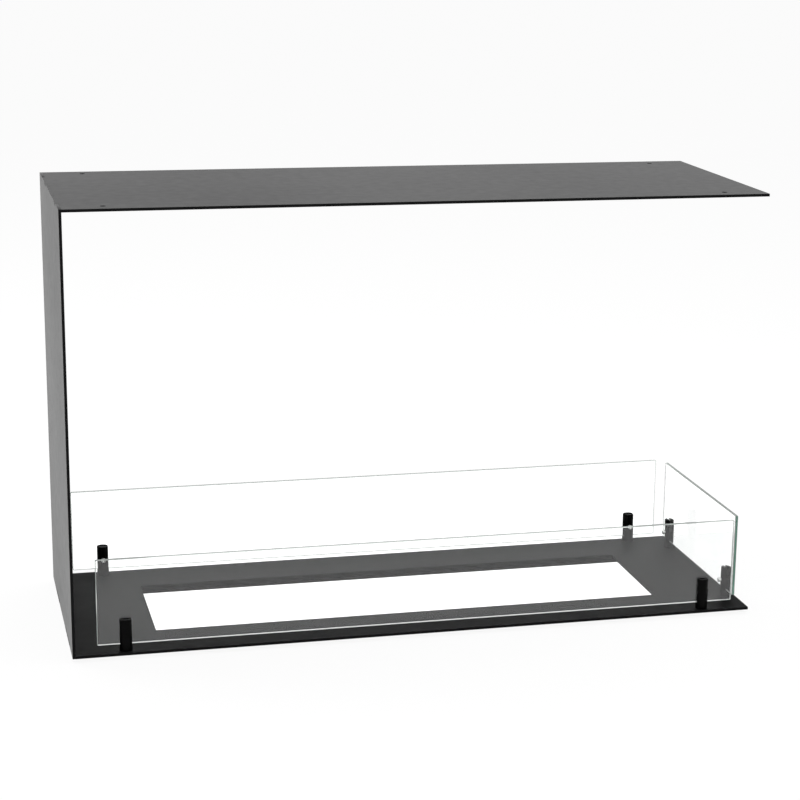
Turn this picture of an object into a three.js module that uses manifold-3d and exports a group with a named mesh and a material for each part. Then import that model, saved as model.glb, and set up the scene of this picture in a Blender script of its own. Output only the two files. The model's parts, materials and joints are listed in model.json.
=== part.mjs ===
// A bioethanol fireplace casing, glazed on three sides: a C of black sheet steel (top, left side,
// base) with a cut-out for a drop-in burner and three glass panes held in slotted posts.
// Millimetres, +Z up, front towards -Y, the closed side on the left (-X). The origin is under the
// middle of the casing, at the underside of the burner rails, the lowest pieces.

import * as THREE from 'three';
import { mergeVertices } from 'three/addons/utils/BufferGeometryUtils.js';
import Module from 'manifold-3d';

const wasm = await Module();
wasm.setup();

// ---------------------------------------------------------------- driving dimensions

// Casing
const WIDTH = 1000;
const DEPTH = 366;
const HEIGHT = 626; // underside of the base to the top face
const SHEET = 4;
const TAB_LENGTH = 72;
const TAB_INSET = 54; // front or back edge to the nearer end of a tab
const TOP_HOLE_DIAMETER = 8;
const TOP_HOLE_END_INSET = 60;
const TOP_HOLE_EDGE_INSET = 23;

// Cut-out for the burner, and the rails that carry the burner's rim
const CUTOUT_LEFT_MARGIN = 125; // edge of the base to the cut-out
const CUTOUT_RIGHT_MARGIN = 119;
const CUTOUT_FRONT_MARGIN = 85;
const CUTOUT_REAR_MARGIN = 80;
const RAIL_DROP = 6; // how far the rails hang below the base
const RAIL_THICKNESS = 3;
const LEDGE_WIDTH = 9;
const RAIL_OVERRUN = 10; // rail past each end of the cut-out

// Glass
const GLASS_THICKNESS = 5;
const GLASS_HEIGHT = 125;
const GLASS_CORNER_RADIUS = 2;
const GLASS_ARRIS = 0.4;
const GLASS_LINE_INSET = 12.5; // edge of the base to the middle of the pane's thickness
const FRONT_GLASS_MARGINS = [35, 24]; // left and right
const REAR_GLASS_MARGINS = [29, 25];
const SIDE_GLASS_MARGIN = 30;

// Posts
const POST_DIAMETER = 18;
const POST_HEIGHT = 46;
const POST_FOOT = 8; // solid foot under the slot
const POST_CHAMFER = 0.8;
const SLOT_WIDTH = 7; // takes up to 6 mm glass
const LEFT_POST_MARGIN = 75; // edge of the base to the axes of the front and rear posts
const RIGHT_POST_MARGIN = 70;
const SIDE_POST_INSET = 29; // ends of the right pane to the posts' axes
const SEAT_PAD_THICKNESS = 1;

// Countersunk screw that holds a post to the base
const FOOT_SCREW_DIAMETER = 5;
const FOOT_SCREW_HEAD_DIAMETER = 9.2;
const FOOT_HOLE_ROOF = 1.5; // metal between the blind hole and the slot's floor
const HEX_KEY_FOOT = 3;
const FOOT_SOCKET_DEPTH = 1.6;

// Cap screw that clamps the glass, with a soft tip
const CLAMP_HEIGHT = 26; // above the base
const CLAMP_SCREW_DIAMETER = 4;
const CLAMP_HEAD_DIAMETER = 7;
const CLAMP_HEAD_LENGTH = 4;
const CLAMP_HEAD_STANDOFF = 1;
const CLAMP_HEAD_CHAMFER = 0.4;
const CLAMP_PAD_LENGTH = 3;
const HEX_KEY_CLAMP = 3;
const CLAMP_SOCKET_DEPTH = 2;

// Clearances
const GLASS_SIDE_GAP = 0.5; // between the glass and the slot's outer wall
const SEAT_GAP = 0.3; // between pieces that rest on or press against each other
const HOLE_CLEARANCE = 0.3; // all round a screw in its hole
const TAB_CLEARANCE = 0.3; // at each end of a tab in its notch
const TAPPED_RUNOUT = 0.5; // depth of a blind hole past the screw's end

// Facets
const POST_SIDES = 48;
const SCREW_SIDES = 24;
const HOLE_SIDES = 32;
const CORNER_STEPS = 8;

// ---------------------------------------------------------------- worked out from them

const LEFT = -WIDTH / 2;
const RIGHT = WIDTH / 2;
const FRONT = -DEPTH / 2;
const REAR = DEPTH / 2;
const BASE_UNDERSIDE = RAIL_DROP;
const BASE_TOP = BASE_UNDERSIDE + SHEET;
const TOP_FACE = BASE_UNDERSIDE + HEIGHT;
const TAB_STARTS = [FRONT + TAB_INSET, REAR - TAB_INSET - TAB_LENGTH];

const CUTOUT_X = [LEFT + CUTOUT_LEFT_MARGIN, RIGHT - CUTOUT_RIGHT_MARGIN];
const CUTOUT_Y = [FRONT + CUTOUT_FRONT_MARGIN, REAR - CUTOUT_REAR_MARGIN];

const GLASS_BOTTOM = BASE_TOP + POST_FOOT + SEAT_PAD_THICKNESS + SEAT_GAP;
const FRONT_GLASS_Y = FRONT + GLASS_LINE_INSET;
const REAR_GLASS_Y = REAR - GLASS_LINE_INSET;
const RIGHT_GLASS_X = RIGHT - GLASS_LINE_INSET;
const betweenMargins = ([left, right]) => [LEFT + left, RIGHT - right];
const FRONT_PANE_X = betweenMargins(FRONT_GLASS_MARGINS);
const REAR_PANE_X = betweenMargins(REAR_GLASS_MARGINS);
const SIDE_PANE_Y = [FRONT + SIDE_GLASS_MARGIN, REAR - SIDE_GLASS_MARGIN];

// The clamp screw pushes the glass outwards in its slot, so a post stands a little inwards of it.
const SLOT_HALF = SLOT_WIDTH / 2;
const POST_OFFSET = SLOT_HALF - GLASS_SIDE_GAP - GLASS_THICKNESS / 2;

// The foot screw starts at the base's underside and ends inside the post's foot.
const FOOT_HOLE_DEPTH = POST_FOOT - FOOT_HOLE_ROOF;
const FOOT_SCREW_LENGTH = SHEET + FOOT_HOLE_DEPTH - TAPPED_RUNOUT;

// Each post faces its clamp screw towards the inside of the hearth: turn is about +Z from +Y.
const POSTS = [
  ['front_left', LEFT + LEFT_POST_MARGIN, FRONT_GLASS_Y + POST_OFFSET, 0],
  ['front_right', RIGHT - RIGHT_POST_MARGIN, FRONT_GLASS_Y + POST_OFFSET, 0],
  ['rear_left', LEFT + LEFT_POST_MARGIN, REAR_GLASS_Y - POST_OFFSET, Math.PI],
  ['rear_right', RIGHT - RIGHT_POST_MARGIN, REAR_GLASS_Y - POST_OFFSET, Math.PI],
  ['right_front', RIGHT_GLASS_X - POST_OFFSET, SIDE_PANE_Y[0] + SIDE_POST_INSET, Math.PI / 2],
  ['right_rear', RIGHT_GLASS_X - POST_OFFSET, SIDE_PANE_Y[1] - SIDE_POST_INSET, Math.PI / 2],
].map(([name, x, y, turn]) => ({ name, x, y, turn }));

// ---------------------------------------------------------------- materials

const finish = (color, roughness, metalness) => new THREE.MeshStandardMaterial({ color, roughness, metalness });
const powderCoat = finish(0x1b1b1c, 0.55, 0.0);
const blackPost = finish(0x0d0d0e, 0.45, 0.0);
const stainless = finish(0xc9cbcc, 0.25, 1.0);
const rubber = finish(0x161616, 0.9, 0.0);
const nylon = finish(0xe6e4dc, 0.5, 0.0);
const clearGlass = finish(0xdff0e8, 0.02, 0.0);

// ---------------------------------------------------------------- solids

function toSolid(geometry) {
  const bare = geometry.clone();
  bare.deleteAttribute('normal');
  bare.deleteAttribute('uv');
  const merged = mergeVertices(bare);
  const index = merged.index.array;
  const triVerts = [];
  for (let i = 0; i < index.length; i += 3) {
    const [a, b, c] = [index[i], index[i + 1], index[i + 2]];
    // A lathe's facets collapse where its profile meets the axis.
    if (a !== b && b !== c && c !== a) triVerts.push(a, b, c);
  }
  return new wasm.Manifold(new wasm.Mesh({
    numProp: 3,
    vertProperties: merged.attributes.position.array,
    triVerts: Uint32Array.from(triVerts),
  }));
}

function toGeometry(solid) {
  const mesh = solid.getMesh();
  const geometry = new THREE.BufferGeometry();
  geometry.setAttribute('position', new THREE.BufferAttribute(mesh.vertProperties, 3));
  geometry.setIndex(new THREE.BufferAttribute(mesh.triVerts, 1));
  geometry.computeVertexNormals();
  return geometry;
}

function subtractAll(geometry, cutters) {
  const cut = cutters.reduce((solid, cutter) => solid.subtract(toSolid(cutter)), toSolid(geometry));
  return toGeometry(cut);
}

function box([x0, x1], [y0, y1], [z0, z1]) {
  const geometry = new THREE.BoxGeometry(x1 - x0, y1 - y0, z1 - z0);
  return geometry.translate((x0 + x1) / 2, (y0 + y1) / 2, (z0 + z1) / 2);
}

function outline(points) {
  return new THREE.Shape(points.map(([u, v]) => new THREE.Vector2(u, v)));
}

function flatExtrusion(shape, thickness, curveSegments = HOLE_SIDES) {
  return new THREE.ExtrudeGeometry(shape, { depth: thickness, bevelEnabled: false, curveSegments });
}

// A round solid on the Z axis, from [radius, height] pairs that start and end on the axis.
function turned(profile, sides) {
  const points = profile.map(([radius, height]) => new THREE.Vector2(radius, height));
  return new THREE.LatheGeometry(points, sides).rotateX(Math.PI / 2);
}

function rod(radius, from, to, sides) {
  return turned([[0, from], [radius, from], [radius, to], [0, to]], sides);
}

// A hexagonal prism on the Z axis, by its width across flats.
function hexagon(acrossFlats, from, to) {
  return rod(acrossFlats / Math.sqrt(3), from, to, 6);
}

// Turns a solid on the Z axis so that it lies along +Y.
function alongY(geometry) {
  return geometry.rotateX(-Math.PI / 2);
}

const middle = ([from, to]) => (from + to) / 2;
const span = ([from, to]) => to - from;

// ---------------------------------------------------------------- casing

// A horizontal panel's outline, with the tabs that reach through the side panel.
function panelOutline() {
  const inner = LEFT + SHEET;
  const points = [[RIGHT, FRONT], [RIGHT, REAR], [inner, REAR]];
  for (const start of [...TAB_STARTS].reverse()) {
    points.push([inner, start + TAB_LENGTH], [LEFT, start + TAB_LENGTH], [LEFT, start], [inner, start]);
  }
  points.push([inner, FRONT]);
  return outline(points);
}

function roundHole(x, y, diameter) {
  return new THREE.Path().absarc(x, y, diameter / 2, 0, 2 * Math.PI, true);
}

function topPanel() {
  const shape = panelOutline();
  for (const x of [LEFT + TOP_HOLE_END_INSET, RIGHT - TOP_HOLE_END_INSET]) {
    for (const y of [FRONT + TOP_HOLE_EDGE_INSET, REAR - TOP_HOLE_EDGE_INSET]) {
      shape.holes.push(roundHole(x, y, TOP_HOLE_DIAMETER));
    }
  }
  return flatExtrusion(shape, SHEET, HOLE_SIDES / 2).translate(0, 0, TOP_FACE - SHEET);
}

function sidePanel() {
  const panel = box([LEFT, LEFT + SHEET], [FRONT, REAR], [BASE_UNDERSIDE, TOP_FACE]);
  const notches = TAB_STARTS.flatMap((start) => {
    const along = [start - TAB_CLEARANCE, start + TAB_LENGTH + TAB_CLEARANCE];
    const across = [LEFT - SHEET, LEFT + 2 * SHEET];
    return [
      box(across, along, [BASE_UNDERSIDE - SHEET, BASE_TOP]),
      box(across, along, [TOP_FACE - SHEET, TOP_FACE + SHEET]),
    ];
  });
  return subtractAll(panel, notches);
}

const footScrewRadius = FOOT_SCREW_DIAMETER / 2;
const footHeadRadius = FOOT_SCREW_HEAD_DIAMETER / 2;
const footConeHeight = footHeadRadius - footScrewRadius; // a 90 degree head

// The countersunk hole under a post, wider all round than the screw.
function countersunkHole({ x, y }) {
  const shank = footScrewRadius + HOLE_CLEARANCE;
  const mouth = footHeadRadius + HOLE_CLEARANCE;
  const profile = [
    [0, -SHEET],
    [mouth, -SHEET],
    [mouth, 0],
    [shank, mouth - shank],
    [shank, 2 * SHEET],
    [0, 2 * SHEET],
  ];
  return turned(profile, HOLE_SIDES).translate(x, y, BASE_UNDERSIDE);
}

function basePanel() {
  const shape = panelOutline();
  const [x0, x1] = CUTOUT_X;
  const [y0, y1] = CUTOUT_Y;
  shape.holes.push(outline([[x0, y0], [x0, y1], [x1, y1], [x1, y0]]));
  const plate = flatExtrusion(shape, SHEET).translate(0, 0, BASE_UNDERSIDE);
  return subtractAll(plate, POSTS.map(countersunkHole));
}

// An angle under one long edge of the cut-out. side is -1 at the front and +1 at the rear.
function burnerRail(side) {
  const edge = side < 0 ? CUTOUT_Y[0] : CUTOUT_Y[1];
  const outer = edge + side * RAIL_THICKNESS;
  const inner = edge - side * LEDGE_WIDTH;
  const section = [
    [outer, 0],
    [inner, 0],
    [inner, RAIL_THICKNESS],
    [edge, RAIL_THICKNESS],
    [edge, RAIL_DROP],
    [outer, RAIL_DROP],
  ];
  // The section's two axes become Y and Z, and the extrusion runs along X.
  const toWorld = new THREE.Matrix4().makeBasis(
    new THREE.Vector3(0, 1, 0),
    new THREE.Vector3(0, 0, 1),
    new THREE.Vector3(1, 0, 0),
  );
  const rail = flatExtrusion(outline(section), span(CUTOUT_X) + 2 * RAIL_OVERRUN);
  return rail.applyMatrix4(toWorld).translate(CUTOUT_X[0] - RAIL_OVERRUN, 0, 0);
}

// ---------------------------------------------------------------- glass

// A pane with rounded corners and arrissed edges, standing on its long edge in the XZ plane,
// centred in its length and its thickness, from the seat of the posts up.
function pane(length) {
  const reach = length / 2 - GLASS_ARRIS;
  const low = GLASS_ARRIS;
  const high = GLASS_HEIGHT - GLASS_ARRIS;
  const r = GLASS_CORNER_RADIUS;
  const shape = new THREE.Shape()
    .moveTo(-reach + r, low)
    .lineTo(reach - r, low)
    .absarc(reach - r, low + r, r, -Math.PI / 2, 0)
    .lineTo(reach, high - r)
    .absarc(reach - r, high - r, r, 0, Math.PI / 2)
    .lineTo(-reach + r, high)
    .absarc(-reach + r, high - r, r, Math.PI / 2, Math.PI)
    .lineTo(-reach, low + r)
    .absarc(-reach + r, low + r, r, Math.PI, 1.5 * Math.PI);
  const glass = new THREE.ExtrudeGeometry(shape, {
    depth: GLASS_THICKNESS - 2 * GLASS_ARRIS,
    bevelSize: GLASS_ARRIS,
    bevelThickness: GLASS_ARRIS,
    bevelSegments: 1,
    curveSegments: CORNER_STEPS,
  });
  glass.translate(0, 0, GLASS_ARRIS - GLASS_THICKNESS / 2);
  return glass.rotateX(Math.PI / 2).translate(0, 0, GLASS_BOTTOM);
}

function longPane(alongX, y) {
  return pane(span(alongX)).translate(middle(alongX), y, 0);
}

function sidePane() {
  return pane(span(SIDE_PANE_Y)).rotateZ(Math.PI / 2).translate(RIGHT_GLASS_X, middle(SIDE_PANE_Y), 0);
}

// ---------------------------------------------------------------- posts and what they hold
// All of these are drawn round the post's axis, on the base's upper face, with the slot along X
// and the clamp screw towards +Y.

function post() {
  const radius = POST_DIAMETER / 2;
  const profile = [
    [0, 0],
    [radius, 0],
    [radius, POST_HEIGHT - POST_CHAMFER],
    [radius - POST_CHAMFER, POST_HEIGHT],
    [0, POST_HEIGHT],
  ];
  const slot = box([-POST_DIAMETER, POST_DIAMETER], [-SLOT_HALF, SLOT_HALF], [POST_FOOT, 2 * POST_HEIGHT]);
  const clampHole = alongY(rod(CLAMP_SCREW_DIAMETER / 2 + HOLE_CLEARANCE, 0, POST_DIAMETER, SCREW_SIDES));
  clampHole.translate(0, 0, CLAMP_HEIGHT);
  const footHole = rod(footScrewRadius + HOLE_CLEARANCE, -POST_FOOT, FOOT_HOLE_DEPTH, SCREW_SIDES);
  return subtractAll(turned(profile, POST_SIDES), [slot, clampHole, footHole]);
}

// The pad fills the slot's floor, inside the post's round outline.
function seatPad() {
  const half = SLOT_HALF - SEAT_GAP;
  const reach = Math.sqrt((POST_DIAMETER / 2 - SEAT_GAP) ** 2 - half ** 2);
  return box([-reach, reach], [-half, half], [POST_FOOT, POST_FOOT + SEAT_PAD_THICKNESS]);
}

// The countersunk screw comes up through the base, its head flush with the base's underside.
function footScrew() {
  const profile = [
    [0, 0],
    [footHeadRadius, 0],
    [footScrewRadius, footConeHeight],
    [footScrewRadius, FOOT_SCREW_LENGTH],
    [0, FOOT_SCREW_LENGTH],
  ];
  const socket = hexagon(HEX_KEY_FOOT, -FOOT_SOCKET_DEPTH, FOOT_SOCKET_DEPTH);
  return subtractAll(turned(profile, SCREW_SIDES), [socket]).translate(0, 0, -SHEET);
}

const padFace = GLASS_THICKNESS / 2 - POST_OFFSET + SEAT_GAP;
const padBack = padFace + CLAMP_PAD_LENGTH;

function clampPad() {
  const pad = rod(CLAMP_SCREW_DIAMETER / 2, padFace, padBack, SCREW_SIDES);
  return alongY(pad).translate(0, 0, CLAMP_HEIGHT);
}

function clampScrew() {
  const shank = CLAMP_SCREW_DIAMETER / 2;
  const head = CLAMP_HEAD_DIAMETER / 2;
  const seat = POST_DIAMETER / 2 + CLAMP_HEAD_STANDOFF;
  const end = seat + CLAMP_HEAD_LENGTH;
  const profile = [
    [0, padBack + SEAT_GAP],
    [shank, padBack + SEAT_GAP],
    [shank, seat],
    [head, seat],
    [head, end - CLAMP_HEAD_CHAMFER],
    [head - CLAMP_HEAD_CHAMFER, end],
    [0, end],
  ];
  const socket = hexagon(HEX_KEY_CLAMP, end - CLAMP_SOCKET_DEPTH, end + CLAMP_SOCKET_DEPTH);
  return alongY(subtractAll(turned(profile, SCREW_SIDES), [socket])).translate(0, 0, CLAMP_HEIGHT);
}

// ---------------------------------------------------------------- assembly

const fireplace = new THREE.Group();

function add(parent, name, geometry, material) {
  const mesh = new THREE.Mesh(geometry, material);
  mesh.name = name;
  parent.add(mesh);
}

add(fireplace, 'top_panel', topPanel(), powderCoat);
add(fireplace, 'side_panel', sidePanel(), powderCoat);
add(fireplace, 'base_panel', basePanel(), powderCoat);
add(fireplace, 'burner_rail_front', burnerRail(-1), powderCoat);
add(fireplace, 'burner_rail_rear', burnerRail(1), powderCoat);
add(fireplace, 'glass_front', longPane(FRONT_PANE_X, FRONT_GLASS_Y), clearGlass);
add(fireplace, 'glass_rear', longPane(REAR_PANE_X, REAR_GLASS_Y), clearGlass);
add(fireplace, 'glass_right', sidePane(), clearGlass);

for (const { name, x, y, turn } of POSTS) {
  const station = new THREE.Group();
  station.position.set(x, y, BASE_TOP);
  station.rotation.z = turn;
  add(station, `post_${name}`, post(), blackPost);
  add(station, `foot_screw_${name}`, footScrew(), stainless);
  add(station, `seat_pad_${name}`, seatPad(), rubber);
  add(station, `clamp_pad_${name}`, clampPad(), nylon);
  add(station, `clamp_screw_${name}`, clampScrew(), stainless);
  fireplace.add(station);
}

export default fireplace;
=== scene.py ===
"""A bioethanol fireplace casing in black powder-coated sheet, glazed on three sides.

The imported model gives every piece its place. Here the sheet metal and the posts get their softened
edges, the screws their knurling and threads, and every surface its material.
"""

import json
import math

import bmesh
import bpy
from mathutils import Matrix, Vector


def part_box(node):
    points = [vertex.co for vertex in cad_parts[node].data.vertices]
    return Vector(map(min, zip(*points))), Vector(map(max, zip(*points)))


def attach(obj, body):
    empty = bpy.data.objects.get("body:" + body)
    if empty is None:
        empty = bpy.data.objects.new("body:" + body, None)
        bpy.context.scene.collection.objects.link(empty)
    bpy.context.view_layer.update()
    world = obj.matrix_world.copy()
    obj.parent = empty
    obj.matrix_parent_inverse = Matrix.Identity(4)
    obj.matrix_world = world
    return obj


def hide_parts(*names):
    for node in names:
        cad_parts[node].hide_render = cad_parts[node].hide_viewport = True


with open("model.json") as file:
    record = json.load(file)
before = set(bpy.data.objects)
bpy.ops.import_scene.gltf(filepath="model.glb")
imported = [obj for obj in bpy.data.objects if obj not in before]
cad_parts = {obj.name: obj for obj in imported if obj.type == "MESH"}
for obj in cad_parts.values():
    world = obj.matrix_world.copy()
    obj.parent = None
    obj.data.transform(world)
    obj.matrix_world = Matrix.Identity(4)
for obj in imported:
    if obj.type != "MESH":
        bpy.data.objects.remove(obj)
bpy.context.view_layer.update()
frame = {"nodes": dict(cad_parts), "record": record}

MM = 0.001
POSTS = ("front_left", "front_right", "rear_left", "rear_right", "right_front", "right_rear")
PANES = ("glass_front", "glass_rear", "glass_right")
SHEET_METAL = {
    "top_panel": "coat",
    "side_panel": "coat",
    "base_panel": "stove_paint",
    "burner_rail_front": "stove_paint",
    "burner_rail_rear": "stove_paint",
}

GLASS_CORNER = 2.0 * MM
GLASS_ARRIS = 1.0 * MM

MERGE_WITHIN = 0.001 * MM

# Screws, as radii
CLAMP_THREAD = 2.0 * MM
CLAMP_PITCH = 0.7 * MM
CLAMP_HEAD = 3.5 * MM
CLAMP_HEAD_LENGTH = 4.0 * MM
FOOT_THREAD = 2.5 * MM
FOOT_PITCH = 0.8 * MM
FOOT_HEAD = 4.6 * MM
HEX_SOCKET = 3.0 * MM / math.sqrt(3)  # to the corners, for a 3 mm key
KNURL_DEPTH = 0.2 * MM
TURN_STEPS = 72

# Faces of the sheet metal and the posts that are smaller than this belong to something round.
LARGEST_ROUND_QUAD = 400 * MM * MM
LARGEST_ROUND_FACE = 60 * MM * MM

# ---------------------------------------------------------------- camera

# Fitted to the straight edges of the photograph: sensor 36 mm, image 800 x 800. The photograph is
# cropped a little off its lens's middle, which is the shift.
CAMERA_AT = (-0.6927, -2.9795, 1.0575)
CAMERA_AZIMUTH = math.radians(-14.791)
CAMERA_ELEVATION = math.radians(14.680)
CAMERA_ROLL = math.radians(0.931)
LENS = 95.30
SHIFT = (-0.0722, 0.0435)


def add_camera():
    az, el, roll = CAMERA_AZIMUTH, CAMERA_ELEVATION, CAMERA_ROLL
    forward = Vector((-math.sin(az) * math.cos(el), math.cos(az) * math.cos(el), -math.sin(el)))
    level_right = Vector((math.cos(az), math.sin(az), 0))
    level_up = level_right.cross(forward)
    right = math.cos(roll) * level_right + math.sin(roll) * level_up
    up = right.cross(forward)
    camera = bpy.data.cameras.new("camera")
    camera.sensor_width = 36
    camera.lens = LENS
    camera.shift_x, camera.shift_y = SHIFT
    camera.clip_start, camera.clip_end = 0.05, 60
    holder = bpy.data.objects.new("camera", camera)
    turn = Matrix((right, up, -forward)).transposed()
    holder.matrix_world = Matrix.Translation(CAMERA_AT) @ turn.to_4x4()
    bpy.context.scene.collection.objects.link(holder)
    bpy.context.scene.camera = holder


add_camera()

# ---------------------------------------------------------------- materials


def linear(hex_colour):
    """An sRGB hex colour as the linear RGBA that Blender's sockets take."""
    channels = [int(hex_colour[i : i + 2], 16) / 255 for i in (1, 3, 5)]
    return [c / 12.92 if c <= 0.04045 else ((c + 0.055) / 1.055) ** 2.4 for c in channels] + [1.0]


def node(tree, kind, settings=None, links=None):
    """Adds a node. settings sets its properties and its sockets' values, links what feeds its sockets."""
    made = tree.nodes.new(kind)
    for name, value in (settings or {}).items():
        if isinstance(name, int) or name in made.inputs:
            made.inputs[name].default_value = value
        else:
            setattr(made, name, value)
    for name, source in (links or {}).items():
        tree.links.new(source, made.inputs[name])
    return made


def material(name):
    made = bpy.data.materials.new(name)
    made.use_nodes = True
    made.node_tree.nodes.clear()
    return made, made.node_tree


def grades(tree, source, stops):
    """A colour ramp from (position, hex colour) stops."""
    ramp = node(tree, "ShaderNodeValToRGB", links={"Fac": source})
    elements = ramp.color_ramp.elements
    while len(elements) < len(stops):
        elements.new(0.5)
    for element, (position, colour) in zip(elements, stops):
        element.position, element.color = position, linear(colour)
    return ramp.outputs["Color"]


def noise(tree, place, across, detail):
    """Noise in lumps about so far across."""
    settings = {"Scale": 1 / across, "Detail": detail}
    return node(tree, "ShaderNodeTexNoise", settings, {"Vector": place}).outputs["Fac"]


def spread(tree, source, found, wanted):
    """Maps the values of a source from one range to another."""
    ends = {"From Min": found[0], "From Max": found[1], "To Min": wanted[0], "To Max": wanted[1]}
    return node(tree, "ShaderNodeMapRange", ends, {"Value": source}).outputs["Result"]


def fine_bump(tree, strength, height, source):
    settings = {"Strength": strength, "Distance": height}
    return node(tree, "ShaderNodeBump", settings, {"Height": source}).outputs["Normal"]


def black_sheet(name, dark, light, specular, roughness):
    """Mild steel sheet under a black coat that was sprayed on dry or wet and baked.

    The casing has a polyester powder coat. To the eye it is a deep satin black that turns grey where
    it is seen at a low angle, with a very fine orange peel and slow, faint changes of sheen.
    The base and the rails have matt stove paint, which stays darker at a low angle.
    """
    made, tree = material(name)
    place = node(tree, "ShaderNodeTexCoord").outputs["Object"]
    # The real peel is 0.3 to 0.6 mm across. It is drawn 1.4 mm across, so that it shows.
    peel = noise(tree, place, 1.4 * MM, 2.0)
    # Film thickness drifts over some 400 mm, as the gun passes, and cloudily over 15 mm.
    drift = noise(tree, place, 400 * MM, 1.0)
    cloud = noise(tree, place, 15 * MM, 4.0)
    film = node(tree, "ShaderNodeMix", {"data_type": "FLOAT", 0: 0.5}, {2: drift, 3: cloud}).outputs[0]
    sheen = spread(tree, film, (0.35, 0.65), roughness)
    bump = fine_bump(tree, 0.15, 0.05 * MM, peel)
    shade = grades(tree, film, [(0.35, dark), (0.65, light)])
    coat = node(
        tree,
        "ShaderNodeBsdfPrincipled",
        {"Specular IOR Level": specular},
        {"Base Color": shade, "Roughness": sheen, "Normal": bump},
    )
    node(tree, "ShaderNodeOutputMaterial", links={"Surface": coat.outputs["BSDF"]})
    return made


def blackened_bar():
    """Turned steel bar, sprayed with the same black: smoother than the sheet, with faint tool marks."""
    made, tree = material("black_painted_turned_steel")
    place = node(tree, "ShaderNodeTexCoord").outputs["Object"]
    # Rings left by the lathe run level round the post, 0.25 mm apart; drawn 0.5 mm apart.
    rings = node(
        tree,
        "ShaderNodeTexWave",
        {"wave_type": "BANDS", "bands_direction": "Z", "Scale": 1 / (0.5 * MM) / 20, "Distortion": 0.6},
        {"Vector": place},
    )
    bump = fine_bump(tree, 0.12, 0.03 * MM, rings.outputs["Fac"])
    wear = noise(tree, place, 4 * MM, 3.0)
    gloss = spread(tree, wear, (0.3, 0.7), (0.4, 0.5))
    shade = grades(tree, wear, [(0.3, "#040404"), (0.7, "#080809")])
    coat = node(
        tree,
        "ShaderNodeBsdfPrincipled",
        {"Specular IOR Level": 0.05},
        {"Base Color": shade, "Roughness": gloss, "Normal": bump},
    )
    node(tree, "ShaderNodeOutputMaterial", links={"Surface": coat.outputs["BSDF"]})
    return made


def clear_float_glass():
    """Toughened float glass, 5 mm, its faces as they came off the float bath.

    To the eye: clear on the face, green where the light has come a long way through it, at the edges.
    """
    made, tree = material("clear_float_glass")
    place = node(tree, "ShaderNodeTexCoord").outputs["Object"]
    # A cleaned pane keeps a faint film in broad strokes, about 60 mm wide. It stays perfectly smooth,
    # because the least roughness blurs what stands behind it.
    film = noise(tree, place, 60 * MM, 2.0)
    glass = node(
        tree,
        "ShaderNodeBsdfPrincipled",
        {"IOR": 1.47, "Transmission Weight": 1.0, "Roughness": 0.0},
        {"Base Color": grades(tree, film, [(0.35, "#fbfdfc"), (0.65, "#ffffff")])},
    )
    lets_light_by(tree, glass, "#f4faf6")
    return made


def lets_light_by(tree, surface, shadow_tint):
    """Ends a glass material: light that casts shadows goes straight through it."""
    clear = node(tree, "ShaderNodeBsdfTransparent", {"Color": linear(shadow_tint)})
    light = node(tree, "ShaderNodeLightPath")
    mixed = node(
        tree,
        "ShaderNodeMixShader",
        links={0: light.outputs["Is Shadow Ray"], 1: surface.outputs["BSDF"], 2: clear.outputs["BSDF"]},
    )
    node(tree, "ShaderNodeOutputMaterial", links={"Surface": mixed.outputs["Shader"]})


def glass_edge(name, outside):
    """The same glass at its edge, ground with a belt and then polished.

    To the eye: from outside a soft green line, because the light in it has run along the inside of
    the pane. Seen through the pane it is a bright line, and that is painted: where the edge is seen
    from inside the glass its colour is white, a painted reflection of the bright surroundings in the
    polished edge.
    """
    made, tree = material(name)
    place = node(tree, "ShaderNodeTexCoord").outputs["Object"]
    from_inside = node(tree, "ShaderNodeNewGeometry").outputs["Backfacing"]
    # The belt leaves marks some 0.3 mm long. They are drawn 1 mm long.
    grind = noise(tree, place, 1.0 * MM, 3.0)
    # Painted reflection: the edge's colour is white where it is seen from inside the glass.
    shade = node(
        tree,
        "ShaderNodeMix",
        {"data_type": "RGBA", 7: linear("#ffffff")},
        {0: from_inside, 6: grades(tree, grind, outside)},
    )
    edge = node(
        tree,
        "ShaderNodeBsdfPrincipled",
        {"IOR": 1.52, "Roughness": 0.2, "Transmission Weight": 0.4},
        {"Base Color": shade.outputs[2]},
    )
    lets_light_by(tree, edge, "#d8e8e0")
    return made


def stainless_screw_steel():
    """Stainless screw stock, cold headed and tumbled: bright, a little soft, with fine random scratches."""
    made, tree = material("tumbled_stainless_steel")
    place = node(tree, "ShaderNodeTexCoord").outputs["Object"]
    grain = noise(tree, place, 0.4 * MM, 4.0)
    gloss = spread(tree, grain, (0.3, 0.7), (0.2, 0.34))
    bump = fine_bump(tree, 0.1, 0.02 * MM, grain)
    metal = node(
        tree,
        "ShaderNodeBsdfPrincipled",
        {"Base Color": linear("#e0e1df"), "Metallic": 1.0},
        {"Roughness": gloss, "Normal": bump},
    )
    node(tree, "ShaderNodeOutputMaterial", links={"Surface": metal.outputs["BSDF"]})
    return made


def soft_material(name, light, dark, speck, roughness):
    """A moulded polymer: even, with the faint mottle of its mould."""
    made, tree = material(name)
    place = node(tree, "ShaderNodeTexCoord").outputs["Object"]
    mottle = noise(tree, place, speck, 3.0)
    bump = fine_bump(tree, 0.2, 0.03 * MM, mottle)
    shade = grades(tree, mottle, [(0.3, dark), (0.7, light)])
    body = node(
        tree,
        "ShaderNodeBsdfPrincipled",
        {"Roughness": roughness},
        {"Base Color": shade, "Normal": bump},
    )
    node(tree, "ShaderNodeOutputMaterial", links={"Surface": body.outputs["BSDF"]})
    return made


sheet_finishes = {
    "coat": black_sheet("powder_coated_mild_steel", "#0a0a0b", "#0e0e0f", 0.08, (0.28, 0.33)),
    "stove_paint": black_sheet("heat_proof_black_paint", "#0b0b0c", "#101011", 0.07, (0.55, 0.6)),
}
black_bar = blackened_bar()
glass = clear_float_glass()
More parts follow.
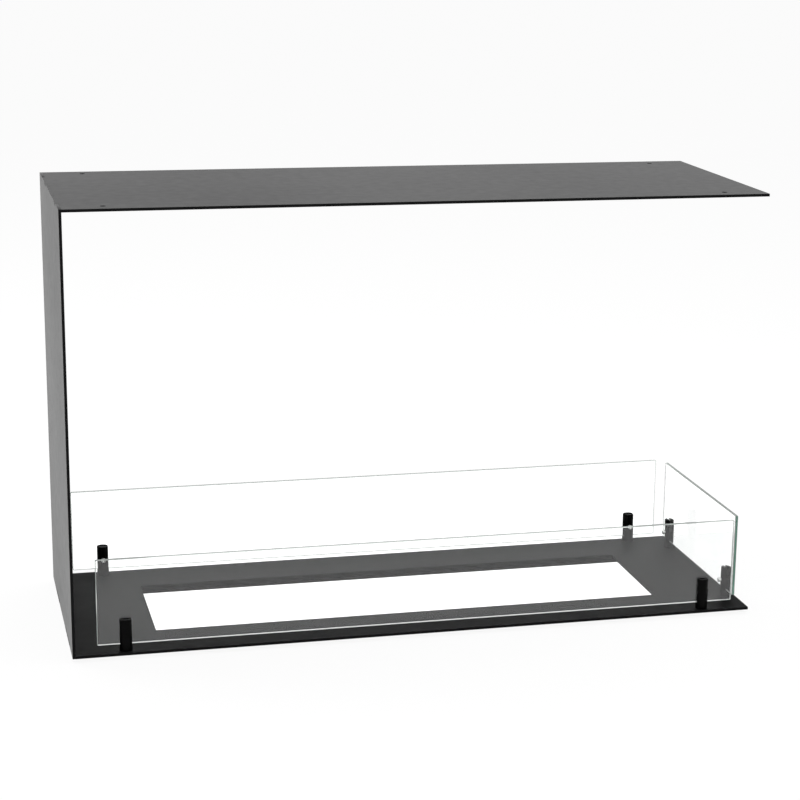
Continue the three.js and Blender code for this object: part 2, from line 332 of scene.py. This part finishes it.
# Across its height the pane is short, so its long edges, top and bottom, show little green; their grey is
# painted shade of the dark base and slots seen down through them. Along its length it is green.
# The arris between an edge and a face is ground only, and white.
long_edge = glass_edge("polished_long_edge_of_float_glass", [(0.3, "#a9b3ae"), (0.7, "#bbc4bf")])
arris = glass_edge("ground_arris_of_float_glass", [(0.3, "#dde6e1"), (0.7, "#eef4f0")])
end_edge = glass_edge("polished_end_edge_of_float_glass", [(0.3, "#6a9f8b"), (0.7, "#82b8a3")])
screw_steel = stainless_screw_steel()
# EPDM rubber, moulded: matt black that never shines.
seat_rubber = soft_material("moulded_epdm_rubber", "#1a1a1a", "#121212", 0.6 * MM, 0.85)
# Natural nylon, turned from rod: milky, waxy white.
tip_nylon = soft_material("natural_nylon", "#e8e5db", "#dedad0", 0.8 * MM, 0.45)

# ---------------------------------------------------------------- pieces


def place_piece(shape, name, finishes, body, replaced):
    """Makes the piece from its bmesh, gives it its materials and lets it ride on its body."""
    mesh = bpy.data.meshes.new(name)
    shape.to_mesh(mesh)
    shape.free()
    for finish in finishes:
        mesh.materials.append(finish)
    piece = bpy.data.objects.new(name, mesh)
    bpy.context.scene.collection.objects.link(piece)
    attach(piece, body)
    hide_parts(*replaced)
    return piece


def solid_of(name):
    """A CAD node's mesh as one closed, merged bmesh of flat faces."""
    shape = bmesh.new()
    shape.from_mesh(frame["nodes"][name].data)
    bmesh.ops.remove_doubles(shape, verts=shape.verts, dist=MERGE_WITHIN)
    bmesh.ops.dissolve_limit(
        shape,
        angle_limit=math.radians(1),
        use_dissolve_boundaries=False,
        verts=shape.verts,
        edges=shape.edges,
    )
    return shape


def round_edges(shape, edges, radius, segments):
    bmesh.ops.bevel(
        shape,
        geom=edges,
        offset=radius,
        offset_type="OFFSET",
        segments=segments,
        profile=0.5,
        affect="EDGES",
        clamp_overlap=True,
        material=-1,
    )


def soften(shape, radius, segments, sharper_than=30):
    """Rounds the edges that turn by more than an angle, and shades what is round as round."""
    edges = [e for e in shape.edges if e.is_manifold and e.calc_face_angle(0) > math.radians(sharper_than)]
    round_edges(shape, edges, radius, segments)
    for face in shape.faces:
        largest_round = LARGEST_ROUND_QUAD if len(face.verts) == 4 else LARGEST_ROUND_FACE
        face.smooth = face.calc_area() < largest_round
    for edge in shape.edges:
        edge.smooth = edge.calc_face_angle(0) < math.radians(32)


def shade_by_angle(shape, degrees):
    for face in shape.faces:
        face.smooth = True
    for edge in shape.edges:
        edge.smooth = edge.calc_face_angle(0) < math.radians(degrees)


def turned(profile):
    """Spins (radius, height) points, from axis to axis, about Z into a closed shape."""
    shape = bmesh.new()
    points = [shape.verts.new((radius, 0, height)) for radius, height in profile]
    edges = [shape.edges.new(pair) for pair in zip(points, points[1:])]
    bmesh.ops.spin(
        shape,
        geom=points + edges,
        cent=(0, 0, 0),
        axis=(0, 0, 1),
        angle=math.tau,
        steps=TURN_STEPS,
        use_merge=True,
    )
    bmesh.ops.remove_doubles(shape, verts=shape.verts, dist=MERGE_WITHIN)
    bmesh.ops.recalc_face_normals(shape, faces=shape.faces)
    return shape


def reshape_ring(shape, radius, new_radius):
    """Moves the points at one radius to a radius that follows their angle about Z."""
    for point in shape.verts:
        flat = point.co.xy
        if abs(flat.length - radius) < MERGE_WITHIN:
            point.co.xy = flat.normalized() * new_radius(math.atan2(flat.y, flat.x))


def knurl(shape, radius):
    """Every other column of a wall sinks in, which leaves straight ridges."""
    column = math.tau / TURN_STEPS
    reshape_ring(shape, radius, lambda turn: radius - KNURL_DEPTH * (round(turn / column) % 2))


def make_hexagon(shape, corner_radius):
    flat = corner_radius * math.cos(math.pi / 6)
    reshape_ring(shape, corner_radius, lambda turn: flat / math.cos(turn % (math.pi / 3) - math.pi / 6))


def thread(radius, low, high, pitch):
    """The ridges of a thread, drawn as rings, from low to high."""
    count = int((high - low) / pitch)
    depth = 0.6 * pitch
    ridges = []
    for turn in range(count):
        foot = low + turn * pitch
        ridges.append((radius - depth, foot + 0.1 * pitch))
        ridges += [(radius, foot + 0.45 * pitch), (radius, foot + 0.6 * pitch)]
    return ridges + [(radius - depth, low + count * pitch)]


def lay_along(shape, at, direction):
    """Moves a shape from the Z axis to its place."""
    turn = Vector((0, 0, 1)).rotation_difference(Vector(direction))
    shape.transform(Matrix.Translation(at) @ turn.to_matrix().to_4x4())


def reach_along(name, at, direction):
    """How far a CAD node reaches from a point along a direction: its nearest and furthest ends."""
    low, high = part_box(name)
    ends = [(Vector(corner) - Vector(at)).dot(Vector(direction)) for corner in (low, high)]
    return min(ends), max(ends)


def clamps():
    """Each clamp's post, a point on its axis and the direction in which it backs out."""
    for joint in frame["record"]["behaviour"]["joints"]:
        if joint["name"].startswith("clamp_turn_"):
            yield joint["name"].removeprefix("clamp_turn_"), joint["pos_m"], joint["axis"]


def add_clamp_screws():
    """M4 cap screws: a knurled head with a hexagon socket, and a threaded shank."""
    for post, at, outwards in clamps():
        name = "clamp_screw_" + post
        tip, end = reach_along(name, at, outwards)
        head = end - CLAMP_HEAD_LENGTH
        profile = [(0, tip), (CLAMP_THREAD - 0.5 * MM, tip)]
        profile += thread(CLAMP_THREAD, tip, head - 0.2 * MM, CLAMP_PITCH)
        profile += [
            (CLAMP_THREAD - 0.1 * MM, head),
            (CLAMP_HEAD - 0.35 * MM, head),
            (CLAMP_HEAD - 0.1 * MM, head + 0.2 * MM),
            (CLAMP_HEAD, head + 0.35 * MM),
            (CLAMP_HEAD, end - 0.75 * MM),
            (CLAMP_HEAD - 0.25 * MM, end - 0.4 * MM),
            (CLAMP_HEAD - 0.45 * MM, end - 0.12 * MM),
            (CLAMP_HEAD - 0.8 * MM, end),
            (HEX_SOCKET + 0.2 * MM, end),
            (HEX_SOCKET, end - 0.15 * MM),
            (HEX_SOCKET, end - 1.9 * MM),
            (0.3 * MM, end - 2.4 * MM),
            (0, end - 2.45 * MM),
        ]
        shape = turned(profile)
        knurl(shape, CLAMP_HEAD)
        make_hexagon(shape, HEX_SOCKET)
        shade_by_angle(shape, 38)
        lay_along(shape, at, outwards)
        place_piece(shape, "cap_screw_" + post, [screw_steel], name, [name])


def add_clamp_tips():
    """Nylon tips, turned, with a slightly domed face to the glass."""
    for post, at, outwards in clamps():
        name = "clamp_pad_" + post
        face, back = reach_along(name, at, outwards)
        profile = [
            (0, face),
            (CLAMP_THREAD - 0.9 * MM, face + 0.05 * MM),
            (CLAMP_THREAD - 0.35 * MM, face + 0.2 * MM),
            (CLAMP_THREAD, face + 0.6 * MM),
            (CLAMP_THREAD, back - 0.2 * MM),
            (CLAMP_THREAD - 0.2 * MM, back),
            (0, back),
        ]
        shape = turned(profile)
        shade_by_angle(shape, 38)
        lay_along(shape, at, outwards)
        place_piece(shape, "nylon_tip_" + post, [tip_nylon], "clamp_tip_" + post, [name])


def add_foot_screws():
    """M5 countersunk screws, their flat heads level with the base's underside."""
    for post in POSTS:
        name = "foot_screw_" + post
        low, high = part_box(name)
        at = ((low[0] + high[0]) / 2, (low[1] + high[1]) / 2, low[2])
        length = high[2] - low[2]
        cone = FOOT_HEAD - FOOT_THREAD
        profile = [
            (0, 1.7 * MM),
            (0.3 * MM, 1.65 * MM),
            (HEX_SOCKET, 1.3 * MM),
            (HEX_SOCKET, 0.12 * MM),
            (HEX_SOCKET + 0.15 * MM, 0),
            (FOOT_HEAD - 0.15 * MM, 0),
            (FOOT_HEAD, 0.12 * MM),
            (FOOT_THREAD, cone + 0.12 * MM),
        ]
        profile += thread(FOOT_THREAD, cone + 0.4 * MM, length, FOOT_PITCH)
        profile += [(FOOT_THREAD - 0.6 * MM, length), (0, length)]
        shape = turned(profile)
        make_hexagon(shape, HEX_SOCKET)
        shade_by_angle(shape, 38)
        lay_along(shape, at, (0, 0, 1))
        place_piece(shape, "countersunk_screw_" + post, [screw_steel], "casing", [name])


def add_seat_pads():
    for post in POSTS:
        shape = solid_of("seat_pad_" + post)
        soften(shape, 0.2 * MM, 2)
        place_piece(shape, "rubber_seat_" + post, [seat_rubber], "casing", ["seat_pad_" + post])


def add_sheet_metal():
    # Laser cut sheet keeps an edge of about 0.2 mm under the coat.
    for name, kind in SHEET_METAL.items():
        shape = solid_of(name)
        soften(shape, 0.2 * MM, 2)
        finish = sheet_finishes[kind]
        place_piece(shape, "coated_" + name, [finish], "casing", [name])


def add_posts():
    for post in POSTS:
        shape = solid_of("post_" + post)
        soften(shape, 0.25 * MM, 2, 35)
        place_piece(shape, "slotted_post_" + post, [black_bar], "casing", ["post_" + post])


def add_panes():
    """Panes with rounded corners and a ground arris, their edges in finishes of their own."""
    finishes = [glass, long_edge, end_edge, arris]
    for name in PANES:
        low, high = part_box(name)
        middle, size = (Vector(low) + Vector(high)) / 2, Vector(high) - Vector(low)
        across = min(range(3), key=lambda axis: size[axis])
        shape = bmesh.new()
        bmesh.ops.create_cube(shape, size=1)
        bmesh.ops.scale(shape, vec=size, verts=shape.verts)
        corners = [e for e in shape.edges if abs((e.verts[0].co - e.verts[1].co)[across]) > 0]
        round_edges(shape, corners, GLASS_CORNER, 8)
        rims = [e for e in shape.edges if e.verts[0].co[across] == e.verts[1].co[across]]
        round_edges(shape, rims, GLASS_ARRIS, 1)
        bmesh.ops.translate(shape, vec=middle, verts=shape.verts)
        for face in shape.faces:
            faces_out = abs(face.normal[across])
            if faces_out > 0.9:
                finish = glass
            elif faces_out > 0.1:
                finish = arris
            else:
                finish = long_edge if abs(face.normal.z) > 0.5 else end_edge
            face.material_index = finishes.index(finish)
        place_piece(shape, "clear_" + name, finishes, name, [name])


add_sheet_metal()
add_posts()
add_panes()
add_clamp_screws()
add_clamp_tips()
add_foot_screws()
add_seat_pads()

# ---------------------------------------------------------------- studio

WHITE_THROUGH_GLASS = 1.42
MIRRORED_SKY = 0.8
OWN_WHITE_OF_FLOOR = 0.9  # the share of what is seen of it; the rest is lit, and keeps the shadow


def maths(tree, operation, source, number):
    return node(tree, "ShaderNodeMath", {"operation": operation, 1: number}, {0: source}).outputs[0]


def background_strength(tree, fill, mirrored, seen_plainly):
    """The background's strength, by how it is met.

    fill is for light on a matt surface, mirrored for what something glossy shows of it, and
    seen_plainly for a direct look. Through the glass it is a little over white, which makes up for
    what the panes mirror away: they look clear on white.
    """
    light = node(tree, "ShaderNodeLightPath").outputs
    matt = maths(tree, "MINIMUM", light["Diffuse Depth"], 1.0)
    glossy = maths(tree, "MULTIPLY", light["Is Glossy Ray"], mirrored)
    plain = maths(tree, "MULTIPLY", light["Is Camera Ray"], seen_plainly)
    glazed = maths(tree, "MULTIPLY", light["Is Transmission Ray"], WHITE_THROUGH_GLASS)
    direct = node(tree, "ShaderNodeMath", {"operation": "MAXIMUM"}, {0: plain, 1: glossy}).outputs[0]
    seen = node(tree, "ShaderNodeMath", {"operation": "MAXIMUM"}, {0: direct, 1: glazed}).outputs[0]
    return node(tree, "ShaderNodeMix", {"data_type": "FLOAT", 3: fill}, {0: matt, 2: seen}).outputs[0]


def add_floor():
    """A white seamless floor, which is white where it is seen and plain where it lights something."""
    made, tree = material("white_matt_vinyl_floor")
    plain = node(tree, "ShaderNodeBsdfDiffuse", {"Color": linear("#f4f4f4")})
    white = node(
        tree,
        "ShaderNodeEmission",
        {"Color": linear("#ffffff")},
        {"Strength": background_strength(tree, 0.0, 1.0, 1.02)},
    )
    seen = node(tree, "ShaderNodeLightPath").outputs["Diffuse Depth"]
    share = spread(tree, seen, (0.0, 1.0), (OWN_WHITE_OF_FLOOR, 0.0))
    mixed = node(
        tree,
        "ShaderNodeMixShader",
        links={0: share, 1: plain.outputs["BSDF"], 2: white.outputs["Emission"]},
    )
    node(tree, "ShaderNodeOutputMaterial", links={"Surface": mixed.outputs["Shader"]})
    shape = bmesh.new()
    bmesh.ops.create_grid(shape, x_segments=1, y_segments=1, size=30)
    mesh = bpy.data.meshes.new("floor")
    shape.to_mesh(mesh)
    shape.free()
    mesh.materials.append(made)
    floor = bpy.data.objects.new("floor", mesh)
    bpy.context.scene.collection.objects.link(floor)


def add_world():
    world = bpy.data.worlds.new("studio")
    world.use_nodes = True
    tree = world.node_tree
    tree.nodes.clear()
    white = node(
        tree,
        "ShaderNodeBackground",
        {"Color": linear("#ffffff")},
        {"Strength": background_strength(tree, 0.5, MIRRORED_SKY, 1.0)},
    )
    node(tree, "ShaderNodeOutputWorld", links={"Surface": white.outputs["Background"]})
    bpy.context.scene.world = world


def add_softbox(name, at, towards, size, watts):
    lamp = bpy.data.lights.new(name, "AREA")
    lamp.shape = "RECTANGLE"
    lamp.size, lamp.size_y = size
    lamp.energy = watts
    holder = bpy.data.objects.new(name, lamp)
    aim = (Vector(towards) - Vector(at)).to_track_quat("-Z", "Y")
    holder.matrix_world = Matrix.Translation(at) @ aim.to_matrix().to_4x4()
    bpy.context.scene.collection.objects.link(holder)


add_floor()
add_world()
add_softbox("overhead_softbox", (0, 0.2, 3.0), (0, 0, 0.3), (3.0, 2.4), 70)
add_softbox("left_softbox", (-2.6, 1.6, 1.6), (0, 0, 0.3), (1.6, 1.6), 25)

scene = bpy.context.scene
scene.view_settings.view_transform = "Standard"
